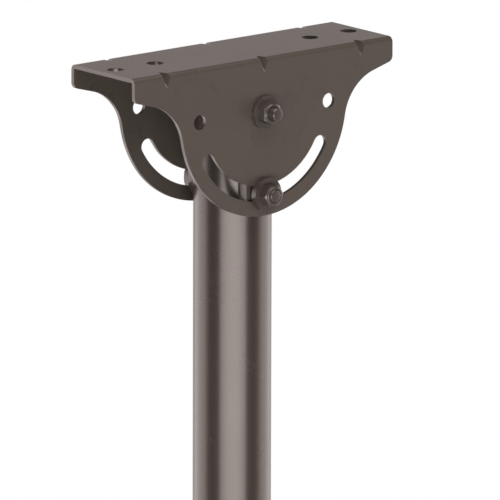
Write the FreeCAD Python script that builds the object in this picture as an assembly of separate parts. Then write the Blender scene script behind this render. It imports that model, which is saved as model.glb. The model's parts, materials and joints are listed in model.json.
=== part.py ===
"""Tilting ceiling bracket and pole of a TV ceiling mount, in millimetres, +Z up.

The origin is the centre of the bracket's top face, the face that lies against the ceiling.
X runs along the bracket, and Y runs from the front cheek to the rear cheek.
Each piece is one solid, written to parts/ under its own name.
"""

import FreeCAD
import Part
import math
import os
from FreeCAD import Vector


# Driving dimensions of the folded bracket.
plate_length = 204.5
sheet = 2.5
bend_inner_radius = 1.0
pivot_drop = 33.3

# Cheek outline: a round tongue below the pivot, blended into two sloping ears.
ear_depth = 14.65
ear_slope_deg = 15.65
ear_corner_radius = 4.0
ear_blend_radius = 31.2
slot_rim = 14.0

# Arc slot and the round holes of the cheeks.
lock_radius = 51.1
slot_width = 9.7
slot_half_angle_deg = 60.0
side_hole_diameter = 9.4

# Lag holes in the top, in two pairs.
lag_hole_diameter = 10.4
lag_end_margin = 9.85
lag_pitch = 30.9

# Stiffening darts pressed into both bends.
dart_reach = 8.5
dart_half_width = 3.5
dart_valley_radius = 0.7

# Pole, a round tube.
pole_diameter = 48.3
pole_wall = 2.0
pole_length = 300.0
pole_above_pivot = 12.0
pole_edge_break = 0.4

# Spacers between cheek and pole, and sleeves inside the pole.
side_gap = 3.85
spacer_half_width = 12.2
spacer_straight = 12.0
spacer_flank_height = 5.95
spacer_lip_height = 1.55
spacer_lip_flare = 0.55
spacer_fit = 0.1
sleeve_diameter = 12.0
sleeve_fit = 0.1

# Bolts, nuts and washers, 5/16 inch hardware.
bolt_diameter = 7.94
bolt_clearance = 0.66
bolt_end_chamfer = 1.2
head_height = 5.3
nut_height = 6.75
nut_flats = 12.7
nut_fit = 0.1
nut_face_diameter = 10.4
nut_chamfer_angle_deg = 30.0
washer_diameter = 20.5
washer_thickness = 2.0
washer_fit = 0.6
lock_washers_per_side = 2
pivot_thread_proud = 4.45
lock_thread_proud = 0.45

# Places that follow from the dimensions.
inner_half_width = pole_diameter / 2 + side_gap
outer_half_width = inner_half_width + sheet
bend_outer_radius = bend_inner_radius + sheet
half_length = plate_length / 2
cheek_radius = lock_radius + slot_rim
bolt_hole_diameter = bolt_diameter + bolt_clearance
washer_hole_diameter = bolt_diameter + washer_fit
pole_radius = pole_diameter / 2
pole_bore_radius = pole_radius - pole_wall
lag_outer_x = half_length - lag_end_margin
lag_inner_x = lag_outer_x - lag_pitch
dart_places_x = [-(lag_outer_x - lag_pitch / 2), 0.0, lag_outer_x - lag_pitch / 2]

Y_AXIS = Vector(0, 1, 0)
PIVOT = Vector(0, 0, -pivot_drop)
LOCK = PIVOT + Vector(0, 0, -lock_radius)


def cylinder_y(radius, y_low, y_high, centre):
    """Cylinder along Y between two Y values, on the line through centre."""
    base = Vector(centre.x, y_low, centre.z)
    return Part.makeCylinder(radius, y_high - y_low, base, Y_AXIS)


def on_circle(centre, radius, angle_deg):
    """Point at a distance from centre, its angle measured from straight down towards +X."""
    angle = math.radians(angle_deg)
    return centre + Vector(radius * math.sin(angle), 0, -radius * math.cos(angle))


def arc_through(start, middle, end):
    """Circular edge through three points."""
    return Part.Arc(start, middle, end).toShape()


def ear_blend_centre():
    """Centre of the concave arc, tangent to the ear's sloping edge and to the round tongue."""
    slope = math.radians(ear_slope_deg)
    towards_centre = Vector(-math.cos(slope), 0, -math.sin(slope))
    downwards = Vector(math.sin(slope), 0, -math.cos(slope))
    ear_end = Vector(half_length, 0, -ear_depth)
    offset = ear_end + downwards * ear_blend_radius - PIVOT
    half_b = offset.dot(towards_centre)
    rest = offset.dot(offset) - (cheek_radius + ear_blend_radius) ** 2
    travel = -half_b - math.sqrt(half_b ** 2 - rest)
    tangent_point = ear_end + towards_centre * travel
    return tangent_point + downwards * ear_blend_radius, tangent_point


def mirrored_x(point):
    """The same point on the other side of the pivot."""
    return Vector(-point.x, point.y, point.z)


def cheek_outline():
    """Closed wire of the cheek in the XZ plane, from the ceiling down to the tongue."""
    centre, ear_tangent = ear_blend_centre()
    outwards = (centre - PIVOT).normalize()
    tongue_tangent = PIVOT + outwards * cheek_radius
    to_ear = (ear_tangent - centre).normalize()
    to_tongue = (tongue_tangent - centre).normalize()
    blend_middle = centre + (to_ear + to_tongue).normalize() * ear_blend_radius
    tongue_bottom = on_circle(PIVOT, cheek_radius, 0)
    ear_end = Vector(half_length, 0, -ear_depth)
    top_end = Vector(half_length, 0, 0)
    edges = [
        Part.makeLine(mirrored_x(top_end), top_end),
        Part.makeLine(top_end, ear_end),
        Part.makeLine(ear_end, ear_tangent),
        arc_through(ear_tangent, blend_middle, tongue_tangent),
        arc_through(tongue_tangent, tongue_bottom, mirrored_x(tongue_tangent)),
        arc_through(mirrored_x(tongue_tangent), mirrored_x(blend_middle), mirrored_x(ear_tangent)),
        Part.makeLine(mirrored_x(ear_tangent), mirrored_x(ear_end)),
        Part.makeLine(mirrored_x(ear_end), mirrored_x(top_end)),
    ]
    return Part.Wire(edges)


def cheek_prism():
    """Cheek outline carried across the whole width, with its two ear corners rounded."""
    width = 2 * outer_half_width
    face = Part.Face(cheek_outline())
    face.translate(Vector(0, -outer_half_width, 0))
    prism = face.extrude(Vector(0, width, 0))
    corners = []
    for edge in prism.Edges:
        middle = edge.CenterOfMass
        at_end = abs(abs(middle.x) - half_length) < 0.001
        at_depth = abs(middle.z + ear_depth) < 0.001
        if at_end and at_depth and edge.Length > width - 0.001:
            corners.append(edge)
    return prism.makeFillet(ear_corner_radius, corners)


def folded_block(half_width, top_z, radius):
    """Long block under top_z with its two upper edges rounded by the bend radius."""
    depth = pivot_drop + cheek_radius + sheet
    corner = Vector(-half_length, -half_width, top_z - depth)
    block = Part.makeBox(plate_length, 2 * half_width, depth, corner)
    bends = []
    for edge in block.Edges:
        middle = edge.CenterOfMass
        if abs(middle.z - top_z) < 0.001 and abs(abs(middle.y) - half_width) < 0.001:
            bends.append(edge)
    return block.makeFillet(radius, bends)


def dart_groove(place_x, side, wall_offset):
    """V groove pressed across one bend at 45 degrees, grown by wall_offset on every side.

    The section lies square to the valley, and its depth is measured from the sharp corner of
    the bend. The walls pass dart_half_width beside that corner and run tangent to the round
    bottom, which lies on the line from dart_reach in on the top to dart_reach down the cheek.
    """
    round_centre = dart_reach / math.sqrt(2) - dart_valley_radius
    to_corner = math.hypot(dart_half_width, round_centre)
    half_angle = math.atan2(dart_half_width, round_centre) - math.asin(dart_valley_radius / to_corner)
    radius = dart_valley_radius + wall_offset
    touch_side = radius * math.cos(half_angle)
    touch_depth = round_centre + radius * math.sin(half_angle)
    mouth = 2 * dart_reach
    mouth_side = touch_side + (touch_depth + mouth) * math.tan(half_angle)

    def at(across, depth):
        step = depth / math.sqrt(2)
        return Vector(place_x + across, side * (outer_half_width - step), -step)

    section = Part.Face(Part.Wire([
        Part.makeLine(at(-mouth_side, -mouth), at(-touch_side, touch_depth)),
        arc_through(at(-touch_side, touch_depth), at(0, round_centre + radius),
                    at(touch_side, touch_depth)),
        Part.makeLine(at(touch_side, touch_depth), at(mouth_side, -mouth)),
        Part.makeLine(at(mouth_side, -mouth), at(-mouth_side, -mouth)),
    ]))
    valley = Vector(0, -side, 1).normalize()
    section.translate(valley * (-2 * dart_reach))
    return section.extrude(valley * (4 * dart_reach))


def slot_tip(angle_deg, turn):
    """Outermost point of the slot's round end; turn is 1 at the +X end and -1 at the other."""
    angle = math.radians(angle_deg)
    along = Vector(math.cos(angle), 0, math.sin(angle))
    return on_circle(PIVOT, lock_radius, angle_deg) + along * (turn * slot_width / 2)


def slot_prism(y_low, y_high):
    """Arc slot around the pivot with round ends, as a cutter."""
    inner = lock_radius - slot_width / 2
    outer = lock_radius + slot_width / 2
    left = -slot_half_angle_deg
    right = slot_half_angle_deg
    edges = [
        arc_through(on_circle(PIVOT, inner, left), on_circle(PIVOT, inner, 0),
                    on_circle(PIVOT, inner, right)),
        arc_through(on_circle(PIVOT, inner, right), slot_tip(right, 1),
                    on_circle(PIVOT, outer, right)),
        arc_through(on_circle(PIVOT, outer, right), on_circle(PIVOT, outer, 0),
                    on_circle(PIVOT, outer, left)),
        arc_through(on_circle(PIVOT, outer, left), slot_tip(left, -1),
                    on_circle(PIVOT, inner, left)),
    ]
    face = Part.Face(Part.Wire(edges))
    face.translate(Vector(0, y_low, 0))
    return face.extrude(Vector(0, y_high - y_low, 0))


def make_ceiling_bracket():
    """One sheet folded to a channel, with pressed darts, cut to the cheek outline."""
    outside = folded_block(outer_half_width, 0, bend_outer_radius)
    inside = folded_block(inner_half_width, -sheet, bend_inner_radius)
    for place_x in dart_places_x:
        for side in (-1, 1):
            outside = outside.cut(dart_groove(place_x, side, 0))
            inside = inside.cut(dart_groove(place_x, side, sheet))
    bracket = outside.cut(inside).common(cheek_prism())
    reach = outer_half_width + sheet
    cutters = [slot_prism(-reach, reach)]
    cutters.append(cylinder_y(bolt_hole_diameter / 2, -reach, reach, PIVOT))
    for side in (-1, 1):
        hole = on_circle(PIVOT, lock_radius, side * 90)
        cutters.append(cylinder_y(side_hole_diameter / 2, -reach, reach, hole))
        for place_x in (side * lag_inner_x, side * lag_outer_x):
            base = Vector(place_x, 0, -2 * sheet)
            cutters.append(Part.makeCylinder(lag_hole_diameter / 2, 3 * sheet, base))
    return bracket.cut(cutters)


def make_pole():
    """Round tube with broken end edges and two pairs of bolt holes."""
    top_z = PIVOT.z + pole_above_pivot
    profile = Part.makePolygon([
        Vector(pole_bore_radius, 0, top_z),
        Vector(pole_radius - pole_edge_break, 0, top_z),
        Vector(pole_radius, 0, top_z - pole_edge_break),
        Vector(pole_radius, 0, top_z - pole_length + pole_edge_break),
        Vector(pole_radius - pole_edge_break, 0, top_z - pole_length),
        Vector(pole_bore_radius, 0, top_z - pole_length),
        Vector(pole_bore_radius, 0, top_z),
    ])
    tube = Part.Face(profile).revolve(Vector(0, 0, 0), Vector(0, 0, 1), 360)
    holes = [
        cylinder_y(bolt_hole_diameter / 2, -pole_diameter, pole_diameter, PIVOT),
        cylinder_y(bolt_hole_diameter / 2, -pole_diameter, pole_diameter, LOCK),
    ]
    return tube.cut(holes)


def make_spacer(centre, side, way):
    """Saddle spacer: flat against the cheek, hollowed to the pole's outside and flared there.

    It is round on one side of the bolt. On the other, towards the other bolt, it runs straight
    along Z by the sign of way and ends flat.
    """
    flare_y = inner_half_width - spacer_flank_height
    lip_y = flare_y - spacer_lip_height
    lip_half_width = spacer_half_width + spacer_lip_flare

    def at(across, y):
        return Vector(across, side * y, centre.z)

    flank = [
        at(spacer_half_width, inner_half_width),
        at(spacer_half_width, flare_y),
        at(lip_half_width, lip_y),
    ]
    other_flank = [mirrored_x(point) for point in reversed(flank)]
    middle = [at(0, lip_y), at(0, inner_half_width)]
    half_section = Part.Face(Part.makePolygon(flank + middle + flank[:1]))
    section = Part.Face(Part.makePolygon(flank + other_flank + flank[:1]))
    round_end = half_section.revolve(centre, Y_AXIS * way, 180)
    straight = section.extrude(Vector(0, 0, way * spacer_straight))
    spacer = round_end.fuse(straight).removeSplitter()
    base = Vector(0, 0, centre.z - pole_diameter / 2)
    hollow = Part.makeCylinder(pole_radius + spacer_fit, pole_diameter, base)
    bore = cylinder_y(bolt_hole_diameter / 2, -pole_diameter, pole_diameter, centre)
    return spacer.cut([hollow, bore])


def make_sleeve(centre):
    """Sleeve inside the pole; its square ends stop just short of the curved bore."""
    reach = math.sqrt(pole_bore_radius ** 2 - (sleeve_diameter / 2) ** 2) - sleeve_fit
    sleeve = cylinder_y(sleeve_diameter / 2, -reach, reach, centre)
    bore = cylinder_y(bolt_hole_diameter / 2, -reach - 1, reach + 1, centre)
    return sleeve.cut(bore)


def make_washer(centre, y_low):
    """Flat washer with square edges."""
    washer = cylinder_y(washer_diameter / 2, y_low, y_low + washer_thickness, centre)
    bore = cylinder_y(washer_hole_diameter / 2, y_low - 1, y_low + washer_thickness + 1, centre)
    return washer.cut(bore)


def hexagon_block(centre, face_y, height, outward, turn_deg):
    """Hexagon across nut_flats whose free face, at face_y, is turned off to a cone.

    The free face looks along Y by the sign of outward, and the flat seat lies height behind it.
    """
    corner_radius = nut_flats / 2 / math.cos(math.radians(30))
    points = []
    for index in range(7):
        point = on_circle(centre, corner_radius, turn_deg + 60 * index)
        points.append(Vector(point.x, face_y, point.z))
    prism = Part.Face(Part.makePolygon(points)).extrude(Vector(0, -outward * height, 0))
    face_radius = nut_face_diameter / 2
    cone_drop = (nut_flats - face_radius) * math.tan(math.radians(nut_chamfer_angle_deg))
    seat_y = face_y - outward * height
    outline = Part.makePolygon([
        Vector(0, face_y, 0),
        Vector(face_radius, face_y, 0),
        Vector(nut_flats, face_y - outward * cone_drop, 0),
        Vector(nut_flats, seat_y, 0),
        Vector(0, seat_y, 0),
        Vector(0, face_y, 0),
    ])
    turned = Part.Face(outline).revolve(Vector(0, 0, 0), Y_AXIS, 360)
    turned.translate(Vector(centre.x, 0, centre.z))
    return prism.common(turned)


def make_nut(centre, seat_y, turn_deg):
    """Hexagon nut whose flat seat is at seat_y, chamfered in front."""
    front_y = seat_y - nut_height
    nut = hexagon_block(centre, front_y, nut_height, -1, turn_deg)
    bore = cylinder_y((bolt_diameter + nut_fit) / 2, front_y - 1, seat_y + 1, centre)
    return nut.cut(bore)


def make_bolt(centre, seat_y, tip_y):
    """Hexagon bolt: head behind the rear washer at seat_y, chamfered end at tip_y."""
    head = hexagon_block(centre, seat_y + head_height, head_height, 1, 0)
    radius = bolt_diameter / 2
    end_radius = radius - bolt_end_chamfer
    outline = Part.makePolygon([
        Vector(0, tip_y, 0),
        Vector(end_radius, tip_y, 0),
        Vector(radius, tip_y + bolt_end_chamfer, 0),
        Vector(radius, seat_y + 1, 0),
        Vector(0, seat_y + 1, 0),
        Vector(0, tip_y, 0),
    ])
    shank = Part.Face(outline).revolve(Vector(0, 0, 0), Y_AXIS, 360)
    shank.translate(Vector(centre.x, 0, centre.z))
    return head.fuse(shank).removeSplitter()


def make_bolted_joint(prefix, centre, washers, proud, nut_turn, spacer_way):
    """Bolt, nut, washers, spacers and sleeve on one line across the cheeks."""
    pieces = {}
    stack = washers * washer_thickness
    names = ["inner", "outer"]
    for index in range(washers):
        suffix = "_" + names[index] if washers > 1 else ""
        rear_y = outer_half_width + index * washer_thickness
        front_y = -outer_half_width - (index + 1) * washer_thickness
        pieces[prefix + "_washer_front" + suffix] = make_washer(centre, front_y)
        pieces[prefix + "_washer_rear" + suffix] = make_washer(centre, rear_y)
    seat_y = outer_half_width + stack
    nut_seat_y = -outer_half_width - stack
    tip_y = nut_seat_y - nut_height - proud
    pieces[prefix + "_nut"] = make_nut(centre, nut_seat_y, nut_turn)
    pieces[prefix + "_bolt"] = make_bolt(centre, seat_y, tip_y)
    pieces[prefix + "_spacer_front"] = make_spacer(centre, -1, spacer_way)
    pieces[prefix + "_spacer_rear"] = make_spacer(centre, 1, spacer_way)
    pieces[prefix + "_sleeve"] = make_sleeve(centre)
    return pieces


def make_parts():
    """All pieces of the object by name."""
    pieces = {"ceiling_bracket": make_ceiling_bracket(), "pole": make_pole()}
    pieces.update(make_bolted_joint("pivot", PIVOT, 1, pivot_thread_proud, 0, -1))
    pieces.update(make_bolted_joint("lock", LOCK, lock_washers_per_side, lock_thread_proud, 30, 1))
    return pieces


os.makedirs("parts", exist_ok=True)
for name, shape in make_parts().items():
    solids = shape.Solids
    if len(solids) != 1 or not shape.isValid():
        raise ValueError(name + " is not one valid solid")
    solids[0].exportStep(os.path.join("parts", name + ".step"))
    print(name, round(solids[0].Volume, 1))
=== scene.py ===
import bmesh
import bpy
import json
import math
import numpy as np
from mathutils import Matrix, Vector


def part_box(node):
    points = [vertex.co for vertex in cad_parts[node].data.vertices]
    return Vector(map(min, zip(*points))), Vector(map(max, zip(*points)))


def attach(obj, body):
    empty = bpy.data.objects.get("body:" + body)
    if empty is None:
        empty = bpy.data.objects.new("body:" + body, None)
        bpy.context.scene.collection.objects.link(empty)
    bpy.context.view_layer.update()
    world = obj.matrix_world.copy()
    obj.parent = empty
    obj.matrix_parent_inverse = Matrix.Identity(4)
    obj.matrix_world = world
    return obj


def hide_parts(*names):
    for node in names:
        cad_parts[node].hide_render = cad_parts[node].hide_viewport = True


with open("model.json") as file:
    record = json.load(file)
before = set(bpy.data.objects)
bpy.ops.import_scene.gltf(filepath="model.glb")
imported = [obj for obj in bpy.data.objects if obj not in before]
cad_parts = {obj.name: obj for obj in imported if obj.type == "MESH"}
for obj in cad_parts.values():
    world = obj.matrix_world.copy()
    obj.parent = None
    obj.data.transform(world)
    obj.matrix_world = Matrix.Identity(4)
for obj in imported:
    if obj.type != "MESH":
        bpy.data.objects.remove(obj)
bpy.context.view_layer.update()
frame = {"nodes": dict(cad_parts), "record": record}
nodes = frame["nodes"]


# Ceiling bracket.
# One steel sheet, 2.5 mm thick, folded to a channel, with three darts pressed into each bend.
# It is powder coated in a dark warm grey. The coat is semi-gloss and has a faint ripple.

cloud_scale = 22.0
cloud_shade = 0.12
cloud_gloss = 0.20
speckle_scale = 1900.0
speckle_shade = 0.05
speckle_gloss = 0.06
speckle_height = 0.2
edge_samples = 4
coat_ior = 1.546
coat_tint = (1.0, 0.843, 0.803, 1.0)


def node_group(name, inputs, outputs):
    """Empty shader group with float or colour sockets, given as {name: default}."""
    group = bpy.data.node_groups.new(name, "ShaderNodeTree")
    for socket_name, default in inputs.items():
        kind = "NodeSocketColor" if isinstance(default, tuple) else "NodeSocketFloat"
        socket = group.interface.new_socket(socket_name, in_out="INPUT", socket_type=kind)
        socket.default_value = default
    for socket_name, kind in outputs.items():
        group.interface.new_socket(socket_name, in_out="OUTPUT", socket_type=kind)
    return group


def join(tree, source, output, target, entry):
    """Link one socket to another, each given by its node and its name or number."""
    tree.links.new(source.outputs[output], target.inputs[entry])


def maths(tree, operation, **values):
    """Math node with its operation and with the values of its inputs a, b and c."""
    node = tree.nodes.new("ShaderNodeMath")
    node.operation = operation
    for letter, value in values.items():
        node.inputs["abc".index(letter)].default_value = value
    return node


def noise_texture(tree, scale, detail):
    """Noise with a scale in waves per metre."""
    node = tree.nodes.new("ShaderNodeTexNoise")
    node.inputs["Scale"].default_value = scale
    node.inputs["Detail"].default_value = detail
    return node


def sum_of_noises(tree, first, first_weight, second, second_weight):
    """Node that gives 1 + w1 * (n1 - 0.5) + w2 * (n2 - 0.5) for two noise nodes."""
    low = maths(tree, "MULTIPLY_ADD", b=first_weight,
                c=1.0 - 0.5 * (first_weight + second_weight))
    high = maths(tree, "MULTIPLY_ADD", b=second_weight)
    join(tree, first, "Fac", low, 0)
    join(tree, second, "Fac", high, 0)
    join(tree, low, 0, high, 2)
    return high


def coat_grain_group():
    """Baked coat: cloudy shade, fine speckle and the ripple of a coat that flowed in the oven.

    Shade is Colour times 1 plus cloud and speckle noise, Roughness likewise, and Height is a
    noise of Ripple Size, in metres, plus a fifth as much of the speckle.
    """
    group = node_group(
        "coat_grain",
        {"Colour": (0.5, 0.5, 0.5, 1.0), "Roughness": 0.4, "Ripple Size": 0.0012},
        {"Colour": "NodeSocketColor", "Roughness": "NodeSocketFloat", "Height": "NodeSocketFloat"},
    )
    entry = group.nodes.new("NodeGroupInput")
    result = group.nodes.new("NodeGroupOutput")
    place = group.nodes.new("ShaderNodeTexCoord")
    cloud = noise_texture(group, cloud_scale, detail=3.0)
    speckle = noise_texture(group, speckle_scale, detail=2.0)
    ripple = noise_texture(group, 1.0, detail=2.5)
    for noise in (cloud, speckle, ripple):
        join(group, place, "Object", noise, "Vector")
    ripple_scale = maths(group, "DIVIDE", a=1.0)
    join(group, entry, "Ripple Size", ripple_scale, 1)
    join(group, ripple_scale, 0, ripple, "Scale")

    shade_change = sum_of_noises(group, cloud, cloud_shade, speckle, speckle_shade)
    shade = group.nodes.new("ShaderNodeHueSaturation")
    join(group, entry, "Colour", shade, "Color")
    join(group, shade_change, 0, shade, "Value")
    join(group, shade, "Color", result, "Colour")
    gloss_change = sum_of_noises(group, cloud, cloud_gloss, speckle, speckle_gloss)
    rough = maths(group, "MULTIPLY")
    join(group, entry, "Roughness", rough, 0)
    join(group, gloss_change, 0, rough, 1)
    join(group, rough, 0, result, "Roughness")
    height = maths(group, "MULTIPLY_ADD", b=speckle_height)
    join(group, speckle, "Fac", height, 0)
    join(group, ripple, "Fac", height, 2)
    join(group, height, 0, result, "Height")
    return group


def grained_material(name, colour, roughness, ripple_size, ripple_depth):
    """Material whose colour, roughness and bump come from the coat grain group.

    Returns the material, its Principled shader and its bump, whose depth is in metres.
    """
    material = bpy.data.materials.new(name)
    material.use_nodes = True
    tree = material.node_tree
    shader = tree.nodes["Principled BSDF"]
    grain = tree.nodes.new("ShaderNodeGroup")
    grain.node_tree = coat_grain
    grain.inputs["Colour"].default_value = colour + (1.0,)
    grain.inputs["Roughness"].default_value = roughness
    grain.inputs["Ripple Size"].default_value = ripple_size
    bump = tree.nodes.new("ShaderNodeBump")
    bump.inputs["Distance"].default_value = ripple_depth
    join(tree, grain, "Height", bump, "Height")
    join(tree, grain, "Colour", shader, "Base Color")
    join(tree, grain, "Roughness", shader, "Roughness")
    join(tree, bump, "Normal", shader, "Normal")
    return material, shader, bump


def coated_metal(name, colour, roughness, ripple_size, ripple_depth, edge_radius):
    """Coated or plated metal whose edges are rounded in shading by edge_radius, in metres."""
    material, shader, bump = grained_material(name, colour, roughness, ripple_size, ripple_depth)
    shader.inputs["IOR"].default_value = coat_ior
    shader.inputs["Specular Tint"].default_value = coat_tint
    edge = material.node_tree.nodes.new("ShaderNodeBevel")
    edge.samples = edge_samples
    edge.inputs["Radius"].default_value = edge_radius
    join(material.node_tree, edge, "Normal", bump, "Normal")
    return material


def dress(names, material):
    """Give carried-over nodes one material."""
    for name in names:
        node = nodes[name]
        node.data.materials.clear()
        node.data.materials.append(material)


coat_grain = coat_grain_group()
# The bracket's copy of the coat is set lighter than the pole's: painted light, standing in for the
# gloss light on the flat cheeks.
bracket_coat_painted_light = coated_metal("bracket_powder_coat", (0.0487, 0.0384, 0.0318), roughness=0.28,
                             ripple_size=0.0016, ripple_depth=0.000008, edge_radius=0.00015)
dress(["ceiling_bracket"], bracket_coat_painted_light)


# Pole.
# A round steel tube, 48.3 mm outside and 2 mm thick, cut square and bored for the two bolts.
# It has the same powder coat as the bracket, sprayed on a smoother, drawn surface. Its colour is
# darker than the bracket's, which is lightened as painted light.

pole_paint = coated_metal("pole_powder_coat", (0.0355, 0.0268, 0.0222), roughness=0.27,
                          ripple_size=0.0022, ripple_depth=0.0000018, edge_radius=0.0003)
dress(["pole"], pole_paint)


# Spacers and sleeves.
# The spacers are saddles moulded in dark brown plastic, flat against the cheek and hollowed to
# the pole. The sleeves are cut from plain steel tube and sit inside the pole, round each bolt.

drawn_stretch = 60.0
drawn_scale = 2600.0
drawn_depth = 0.000004
drawn_dark_share = 0.7
drawn_roughness_swing = 0.08


def ramp(tree, to_low, to_high, from_low=0.0, from_high=1.0):
    """Map Range node from one span to another."""
    node = tree.nodes.new("ShaderNodeMapRange")
    node.inputs["From Min"].default_value = from_low
    node.inputs["From Max"].default_value = from_high
    node.inputs["To Min"].default_value = to_low
    node.inputs["To Max"].default_value = to_high
    return node


def moulded_plastic(name, colour, roughness):
    """Plastic with the fine spark-eroded grain of its mould, as bump and roughness."""
    material, shader, _ = grained_material(name, colour, roughness,
                                           ripple_size=0.0005, ripple_depth=0.00002)
    shader.inputs["IOR"].default_value = 1.53
    shader.inputs["Specular Tint"].default_value = (1.0, 0.86, 0.83, 1.0)
    return material


def drawn_steel(name, colour, roughness):
    """Bare steel with fine lines drawn along Y, from a noise stretched by drawn_stretch."""
    material = bpy.data.materials.new(name)
    material.use_nodes = True
    tree = material.node_tree
    shader = tree.nodes["Principled BSDF"]
    shader.inputs["Metallic"].default_value = 1.0
    place = tree.nodes.new("ShaderNodeTexCoord")
    stretch = tree.nodes.new("ShaderNodeMapping")
    stretch.inputs["Scale"].default_value = (1.0, 1.0 / drawn_stretch, 1.0)
    lines = noise_texture(tree, drawn_scale, detail=3.0)
    dark_colour = tuple(drawn_dark_share * channel for channel in colour)
    shade = tree.nodes.new("ShaderNodeValToRGB")
    shade.color_ramp.elements[0].color = dark_colour + (1.0,)
    shade.color_ramp.elements[1].color = colour + (1.0,)
    rough = ramp(tree, roughness - drawn_roughness_swing, roughness + drawn_roughness_swing)
    bump = tree.nodes.new("ShaderNodeBump")
    bump.inputs["Distance"].default_value = drawn_depth
    join(tree, place, "Object", stretch, "Vector")
    join(tree, stretch, "Vector", lines, "Vector")
    join(tree, lines, "Fac", shade, "Fac")
    join(tree, lines, "Fac", rough, "Value")
    join(tree, lines, "Fac", bump, "Height")
    join(tree, shade, "Color", shader, "Base Color")
    join(tree, rough, "Result", shader, "Roughness")
    join(tree, bump, "Normal", shader, "Normal")
    return material


dress([name for name in nodes if "spacer" in name],
      moulded_plastic("brown_moulded_plastic", (0.055, 0.042, 0.036), roughness=0.28))
dress([name for name in nodes if "sleeve" in name],
      drawn_steel("drawn_steel_tube", (0.52, 0.51, 0.50), roughness=0.36))


# Washers and nuts.
# Flat pressed washers and hexagon nuts, 5/16 inch size, in a dark coat like the bracket's, set
# darker partly as painted shade.
# One washer lies under the pivot nut and bolt head, and two lie under each end of the lock bolt.

flats = 0.0127
chamfer_slope = math.tan(math.radians(30))
nut_face_radius = 0.0060
nut_rim_round = 0.0009
nut_bore_radius = 0.00402
nut_countersink = 0.0004
sharp_angle = math.radians(28)
around = 96
ring_angle = np.linspace(0, 2 * math.pi, around, endpoint=False)
ring = np.ones(around)

# The fastener colour is darker than the bracket's partly as painted shade: it darkens the washer
# faces beside the nuts, where the nuts shade them.
fastener_coat_and_painted_shade = coated_metal("fastener_coat_painted_shade", (0.037, 0.0290, 0.0242), roughness=0.28,
                               ripple_size=0.0009, ripple_depth=0.000004, edge_radius=0.0001)
dress([name for name in nodes if "washer" in name], fastener_coat_and_painted_shade)


def hexagon_radius(angle):
    """Hexagon's side, from its axis: half the flats over cos(angle within a side)."""
    return 0.5 * flats / np.cos(np.mod(angle, math.pi / 3) - math.pi / 6)


def quarter_round(outer_radius, round_radius, face_y, rows):
    """Rows of radius and y that round a rim over to the flat face at face_y.

    Radius is outer - round * (1 - cos t) and y is face + round * (1 - sin t), for t from zero
    to a quarter turn.
    """
    t = np.linspace(0, math.pi / 2, rows)[:, None]
    return (outer_radius - round_radius * (1 - np.cos(t)) * ring,
            face_y + round_radius * (1 - np.sin(t)) * ring)


def ring_mesh(name, node, radius, y):
    """Rings round the node's own Y axis, one for each row of radius and y, joined by quads.

    A row of radius zero closes an end, and a last row equal to the first closes a bore.
    """
    low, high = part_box(node)
    points = np.stack([0.5 * (low.x + high.x) + radius * np.sin(ring_angle), y,
                       0.5 * (low.z + high.z) + radius * np.cos(ring_angle)], -1)
    i, j = np.meshgrid(np.arange(len(y) - 1), np.arange(around), indexing="ij")
    k = (j + 1) % around
    quads = np.stack([i * around + j, i * around + k,
                      (i + 1) * around + k, (i + 1) * around + j], -1)
    mesh = bpy.data.meshes.new(name)
    mesh.from_pydata(points.reshape(-1, 3).tolist(), [], quads.reshape(-1, 4).tolist())
    return mesh


def close_mesh(mesh):
    """Merge the rings' doubled points, turn the normals outward and set the sharp edges."""
    solid = bmesh.new()
    solid.from_mesh(mesh)
    bmesh.ops.remove_doubles(solid, verts=solid.verts, dist=1e-7)
    bmesh.ops.recalc_face_normals(solid, faces=solid.faces)
    solid.to_mesh(mesh)
    solid.free()
    mesh.shade_smooth()
    mesh.set_sharp_from_angle(angle=sharp_angle)


def fit_on(mesh, node):
    """Put a mesh in the scene in place of a node, on the node's body, and hide the node."""
    piece = bpy.data.objects.new(mesh.name, mesh)
    bpy.context.scene.collection.objects.link(piece)
    for body, names in frame["record"]["behaviour"]["bodies"].items():
        if node in names:
            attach(piece, body)
    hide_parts(node)


def nut_mesh(name, node):
    """Hexagon nut from its seat to its free face, and back through the bore.

    A 30 degree cone cuts the hexagon's corners down to the face circle, and a quarter round
    leads on to the flat face. The bore has a small countersink. A nut that is wider along X
    than along Z stands with two corners level, so its hexagon is turned by half a side.
    """
    low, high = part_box(node)
    corners_level = high.x - low.x > high.z - low.z
    hexagon = hexagon_radius(ring_angle + (math.pi / 6 if corners_level else 0.0))
    cone_y = low.y + nut_rim_round + (hexagon - nut_face_radius) * chamfer_slope
    rim_radius, rim_y = quarter_round(nut_face_radius, nut_rim_round, low.y, rows=9)
    bore = nut_bore_radius * ring
    radius = np.concatenate([[bore, hexagon, hexagon], rim_radius,
                             [bore + nut_countersink, bore, bore]])
    y = np.concatenate([[high.y * ring, high.y * ring, cone_y], rim_y,
                        [low.y * ring, (low.y + nut_countersink) * ring, high.y * ring]])
    mesh = ring_mesh(name, node, radius, y)
    mesh.materials.append(fastener_coat_and_painted_shade)
    close_mesh(mesh)
    return mesh


for nut_node in ("pivot_nut", "lock_nut"):
    fit_on(nut_mesh(nut_node + "_rounded", nut_node), nut_node)


# Bolts.
# Hexagon bolts, 3 inches long, with the head at the rear and a rolled coarse thread in front.
# They run through both cheeks and the pole. The thread is duller than the rest of the bolt.

head_face_radius = 0.0052
major_radius = 0.00794 / 2
tip_round = 0.0012
thread_pitch = 0.001411
thread_depth = 0.0006
thread_length = 0.0235
thread_rows = 190
flank_steepness = 1.35
root_flat = 0.15

thread_finish = coated_metal("dull_thread_finish", (0.026, 0.021, 0.018), roughness=0.6,
                             ripple_size=0.0009, ripple_depth=0.000004, edge_radius=0.00005)
thread_finish.node_tree.nodes["Principled BSDF"].inputs["Specular IOR Level"].default_value = 0.25


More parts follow.
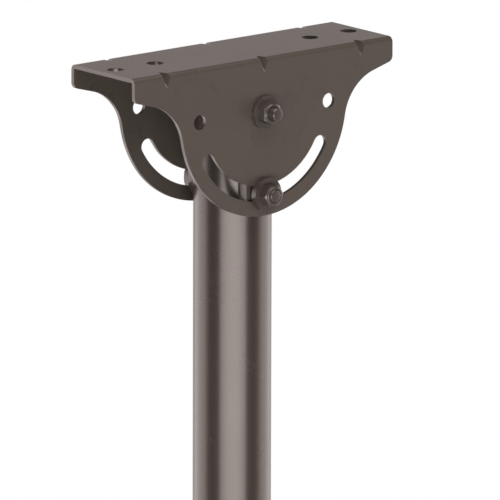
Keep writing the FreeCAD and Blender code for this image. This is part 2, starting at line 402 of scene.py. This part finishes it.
def bolt_mesh(name, node, seat_y):
    """Bolt as rings round the Y axis, from the head's face to the end face.

    The head is a hexagon cut by a 30 degree cone from its face circle. The thread's radius is
    major - depth * fade * (1 - flank), where flank is a triangle wave of y / pitch - angle /
    full turn, cut flat at crest and root, and fade takes the thread in over its first turn
    and out over its last two. The bolt's end is a quarter round.
    """
    low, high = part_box(node)
    hexagon = hexagon_radius(ring_angle)
    head_radius = np.stack([0 * ring, head_face_radius * ring, hexagon, hexagon,
                            major_radius * ring])
    head_y = np.stack([high.y * ring, high.y * ring,
                       high.y - (hexagon - head_face_radius) * chamfer_slope,
                       seat_y * ring, seat_y * ring])
    start_y = low.y + tip_round
    end_y = low.y + thread_length
    thread_y = np.linspace(end_y, start_y, thread_rows)[:, None]
    wave = np.mod((thread_y - low.y) / thread_pitch - ring_angle / (2 * math.pi), 1.0)
    flank = np.clip(flank_steepness * np.abs(2 * wave - 1) - root_flat, 0.0, 1.0)
    fade = (np.clip((end_y - thread_y) / (2 * thread_pitch), 0.0, 1.0)
            * np.clip((thread_y - start_y) / thread_pitch, 0.0, 1.0))
    thread_radius = major_radius - thread_depth * fade * (1 - flank)
    tip_radius, tip_y = quarter_round(major_radius, tip_round, low.y, rows=10)
    radius = np.concatenate([head_radius, thread_radius, tip_radius, [0 * ring]])
    y = np.concatenate([head_y, thread_y * ring, tip_y, [low.y * ring]])
    mesh = ring_mesh(name, node, radius, y)
    mesh.materials.append(fastener_coat_and_painted_shade)
    mesh.materials.append(thread_finish)
    row = np.repeat(np.arange(len(y) - 1), around)
    threaded = (row >= len(head_y)) & (row < len(head_y) + thread_rows)
    mesh.polygons.foreach_set("material_index", threaded.astype(np.int32))
    close_mesh(mesh)
    return mesh


for bolt_node, washer_node in (("pivot_bolt", "pivot_washer_rear"),
                               ("lock_bolt", "lock_washer_rear_outer")):
    head_seat_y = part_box(washer_node)[1].y
    fit_on(bolt_mesh(bolt_node + "_threaded", bolt_node, head_seat_y), bolt_node)


# Studio floor.
# A plain pale disc where a room's floor would be, 2.4 m below the ceiling.
# The camera sees it nearly white from above, and looks through it from below.

floor_z = -2.4
floor_radius = 3.0
floor_corners = 96
floor_colour = (0.8, 0.8, 0.8, 1.0)
floor_roughness = 0.7
floor_white_share = 0.85

rim_angle = np.linspace(0, 2 * math.pi, floor_corners, endpoint=False)
rim_points = np.stack([floor_radius * np.cos(rim_angle), floor_radius * np.sin(rim_angle),
                       0 * rim_angle + floor_z], -1)
floor_mesh = bpy.data.meshes.new("floor")
floor_mesh.from_pydata(rim_points.tolist(), [], [list(range(floor_corners))])
floor = bpy.data.objects.new("floor", floor_mesh)
bpy.context.scene.collection.objects.link(floor)

floor_material = bpy.data.materials.new("pale_floor")
floor_material.use_nodes = True
floor_tree = floor_material.node_tree
floor_shader = floor_tree.nodes["Principled BSDF"]
floor_shader.inputs["Base Color"].default_value = floor_colour
floor_shader.inputs["Roughness"].default_value = floor_roughness
floor_white = floor_tree.nodes.new("ShaderNodeEmission")
floor_clear = floor_tree.nodes.new("ShaderNodeBsdfTransparent")
floor_path = floor_tree.nodes.new("ShaderNodeLightPath")
floor_side = floor_tree.nodes.new("ShaderNodeNewGeometry")
floor_share = maths(floor_tree, "MULTIPLY", b=floor_white_share)
floor_top = floor_tree.nodes.new("ShaderNodeMixShader")
floor_both = floor_tree.nodes.new("ShaderNodeMixShader")
join(floor_tree, floor_path, "Is Camera Ray", floor_share, 0)
join(floor_tree, floor_share, 0, floor_top, "Fac")
join(floor_tree, floor_shader, "BSDF", floor_top, 1)
join(floor_tree, floor_white, "Emission", floor_top, 2)
join(floor_tree, floor_side, "Backfacing", floor_both, "Fac")
join(floor_tree, floor_top, "Shader", floor_both, 1)
join(floor_tree, floor_clear, "BSDF", floor_both, 2)
join(floor_tree, floor_both, "Shader", floor_tree.nodes["Material Output"], "Surface")
floor_mesh.materials.append(floor_material)


# Studio light.
# A wide softbox and two strips stand beside the camera, softboxes stand behind the object on both
# sides, at three heights on the left and two on the right, and one hangs above. The room behind
# the object is a slightly warm backdrop that gloss shows too, and its sides stay dark, which gives
# the pole its dark bands.

object_centre = Vector((0.0, 0.0, -0.15))
daylight = (0.95, 1.0, 1.0)
white = (1.0, 1.0, 1.0)
# Name, azimuth and elevation in degrees, distance, width and height in metres, radiance, colour.
softboxes = (
    ("front_softbox", 233.0, -12.0, 2.6, 3.9, 1.0, 6.5, daylight),
    ("front_softbox_core", 233.0, -12.0, 2.5, 1.8, 0.9, 1.6, daylight),
    ("front_strip_softbox_high", 255.0, 25.0, 2.6, 0.7, 1.9, 1.8, white),
    ("front_strip_softbox_low", 255.0, -40.0, 2.6, 0.7, 1.2, 4.0, white),
    ("top_softbox", 250.0, 80.0, 2.4, 2.8, 2.8, 4.3, white),
    ("rear_left_softbox", 120.0, -12.0, 3.0, 3.4, 1.5, 1.8, white),
    ("rear_left_softbox_high", 120.0, 11.0, 3.0, 3.4, 0.9, 1.5, white),
    ("rear_left_softbox_low", 125.0, -42.0, 3.0, 3.0, 1.4, 2.0, white),
    ("rear_right_softbox", -13.0, -12.0, 3.0, 3.2, 1.5, 1.35, white),
    ("rear_right_softbox_high", -13.0, 11.0, 3.0, 3.2, 0.9, 2.2, white),
)


def hang_softbox(name, azimuth, elevation, distance, width, height, radiance, colour):
    """Area lamp aimed at the object; its power is radiance times area times pi."""
    lamp = bpy.data.lights.new(name, "AREA")
    lamp.color = colour
    lamp.shape = "RECTANGLE"
    lamp.size = width
    lamp.size_y = height
    lamp.energy = radiance * width * height * math.pi
    holder = bpy.data.objects.new(name, lamp)
    turn = math.radians(azimuth)
    lift = math.radians(elevation)
    way = Vector((math.cos(turn) * math.cos(lift), math.sin(turn) * math.cos(lift),
                  math.sin(lift)))
    holder.location = object_centre + way * distance
    holder.rotation_mode = "QUATERNION"
    holder.rotation_quaternion = way.to_track_quat("Z", "Y")
    holder.visible_camera = False
    bpy.context.scene.collection.objects.link(holder)


for softbox in softboxes:
    hang_softbox(*softbox)

backdrop_azimuth = math.radians(50.0)
backdrop_edge = (-0.35, 0.05)
backdrop_height = (-0.12, 0.56)
backdrop_levels = (0.97, 0.0)
backdrop_colour = (1.0, 0.92, 0.89, 1.0)
fill_level = 0.15

world = bpy.data.worlds.new("studio_room")
bpy.context.scene.world = world
world.use_nodes = True
room = world.node_tree
background = room.nodes["Background"]
path = room.nodes.new("ShaderNodeLightPath")
direction = room.nodes.new("ShaderNodeTexCoord")

# Across: the cosine between the level direction and the backdrop's middle, with a soft edge.
level_out = room.nodes.new("ShaderNodeVectorMath")
level_out.operation = "MULTIPLY"
level_out.inputs[1].default_value = (1.0, 1.0, 0.0)
level_way = room.nodes.new("ShaderNodeVectorMath")
level_way.operation = "NORMALIZE"
towards = room.nodes.new("ShaderNodeVectorMath")
towards.operation = "DOT_PRODUCT"
towards.inputs[1].default_value = (math.cos(backdrop_azimuth), math.sin(backdrop_azimuth), 0.0)
across = ramp(room, 0.0, 1.0, *backdrop_edge)
across.interpolation_type = "SMOOTHSTEP"
join(room, direction, "Generated", level_out, 0)
join(room, level_out, "Vector", level_way, 0)
join(room, level_way, "Vector", towards, 0)
join(room, towards, "Value", across, "Value")

# Up: the backdrop fades out above the object.
height = room.nodes.new("ShaderNodeSeparateXYZ")
up = ramp(room, *backdrop_levels, *backdrop_height)
backdrop = maths(room, "MULTIPLY")
join(room, direction, "Generated", height, "Vector")
join(room, height, "Z", up, "Value")
join(room, up, "Result", backdrop, 0)
join(room, across, "Result", backdrop, 1)

# Gloss shows the backdrop, matt surfaces get an even fill, and the camera sees plain white.
room_level = room.nodes.new("ShaderNodeMix")
room_level.inputs["A"].default_value = fill_level
seen_level = maths(room, "MAXIMUM")
room_colour = room.nodes.new("ShaderNodeMix")
room_colour.data_type = "RGBA"
room_colour.inputs["A"].default_value = backdrop_colour
room_colour.inputs["B"].default_value = (1.0, 1.0, 1.0, 1.0)
join(room, path, "Is Glossy Ray", room_level, "Factor")
join(room, backdrop, 0, room_level, "B")
join(room, room_level, "Result", seen_level, 0)
join(room, path, "Is Camera Ray", seen_level, 1)
join(room, seen_level, 0, background, "Strength")
join(room, path, "Is Camera Ray", room_colour, "Factor")
join(room, room_colour, "Result", background, "Color")


# Camera.
# It stands 8 m away with a long lens, so the view is nearly parallel, as in the photograph.
# It looks from the left front, slightly from above.

view_turn = math.radians(39.722)
view_drop = math.radians(12.681)
view_roll = math.radians(-0.155)
view_distance = 8.0
look_at = Vector((-0.00879, -0.02755, -0.11916))
sensor_width_mm = 36.0
lens_mm = 942.2

forward = Vector((math.sin(view_turn) * math.cos(view_drop),
                  math.cos(view_turn) * math.cos(view_drop), -math.sin(view_drop)))
camera_data = bpy.data.cameras.new("camera")
camera_data.sensor_width = sensor_width_mm
camera_data.lens = lens_mm
camera_data.clip_end = 100.0
camera = bpy.data.objects.new("camera", camera_data)
camera.rotation_mode = "QUATERNION"
camera.rotation_quaternion = (Matrix.Rotation(view_roll, 3, forward)
                              @ forward.to_track_quat("-Z", "Y").to_matrix()).to_quaternion()
camera.location = look_at - forward * view_distance
bpy.context.scene.collection.objects.link(camera)
bpy.context.scene.camera = camera
bpy.context.scene.view_settings.view_transform = "Standard"
